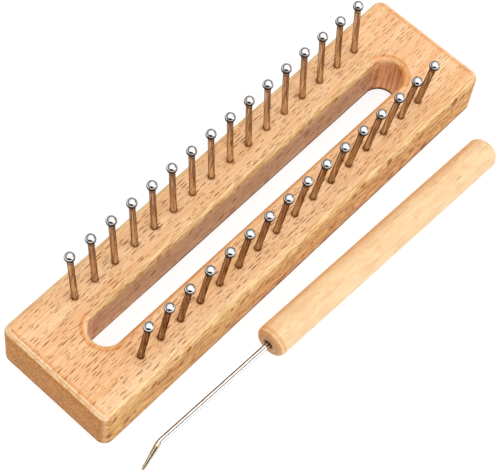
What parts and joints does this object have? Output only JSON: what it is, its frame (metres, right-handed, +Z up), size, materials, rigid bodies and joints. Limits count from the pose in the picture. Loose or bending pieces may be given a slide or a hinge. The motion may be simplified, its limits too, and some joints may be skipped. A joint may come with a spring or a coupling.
{
  "type": "knitting loom",
  "caption": "Wooden knitting loom: slotted beech board with rows of ball-headed steel pegs beside the slot, and its loom hook with a turned wooden handle and a bent wire.",
  "frame": {"origin": "middle of the footprint of the whole set, loom and hook, on the surface that it stands on", "axes": "+X along the board towards its right end, +Y from the hook towards the loom, +Z up"},
  "size_m": [0.204, 0.0768, 0.048],
  "materials": {
    "board_beech": "clear-varnished beech with fine ray flecks along the board",
    "handle_beech": "pale satin beech, turned",
    "peg_steel": "polished nickel-plated steel",
    "wire_steel": "polished steel wire"
  },
  "bodies": {
    "loom": {"loom_board": "board_beech", "back_peg_01": "peg_steel", "back_peg_02": "peg_steel", "back_peg_03": "peg_steel", "back_peg_04": "peg_steel", "back_peg_05": "peg_steel", "back_peg_06": "peg_steel", "back_peg_07": "peg_steel", "back_peg_08": "peg_steel", "back_peg_09": "peg_steel", "back_peg_10": "peg_steel", "back_peg_11": "peg_steel", "back_peg_12": "peg_steel", "back_peg_13": "peg_steel", "back_peg_14": "peg_steel", "back_peg_15": "peg_steel", "back_peg_16": "peg_steel", "front_peg_01": "peg_steel", "front_peg_02": "peg_steel", "front_peg_03": "peg_steel", "front_peg_04": "peg_steel", "front_peg_05": "peg_steel", "front_peg_06": "peg_steel", "front_peg_07": "peg_steel", "front_peg_08": "peg_steel", "front_peg_09": "peg_steel", "front_peg_10": "peg_steel", "front_peg_11": "peg_steel", "front_peg_12": "peg_steel", "front_peg_13": "peg_steel", "front_peg_14": "peg_steel", "front_peg_15": "peg_steel", "front_peg_16": "peg_steel"},
    "hook": {"hook_handle": "handle_beech", "hook_wire": "wire_steel"}
  },
  "joints": [
    {"name": "hook_lift", "type": "slide", "parent": "loom", "child": "hook", "axis": [0, 0, 1], "range_m": [0, 0.06]}
  ]
}
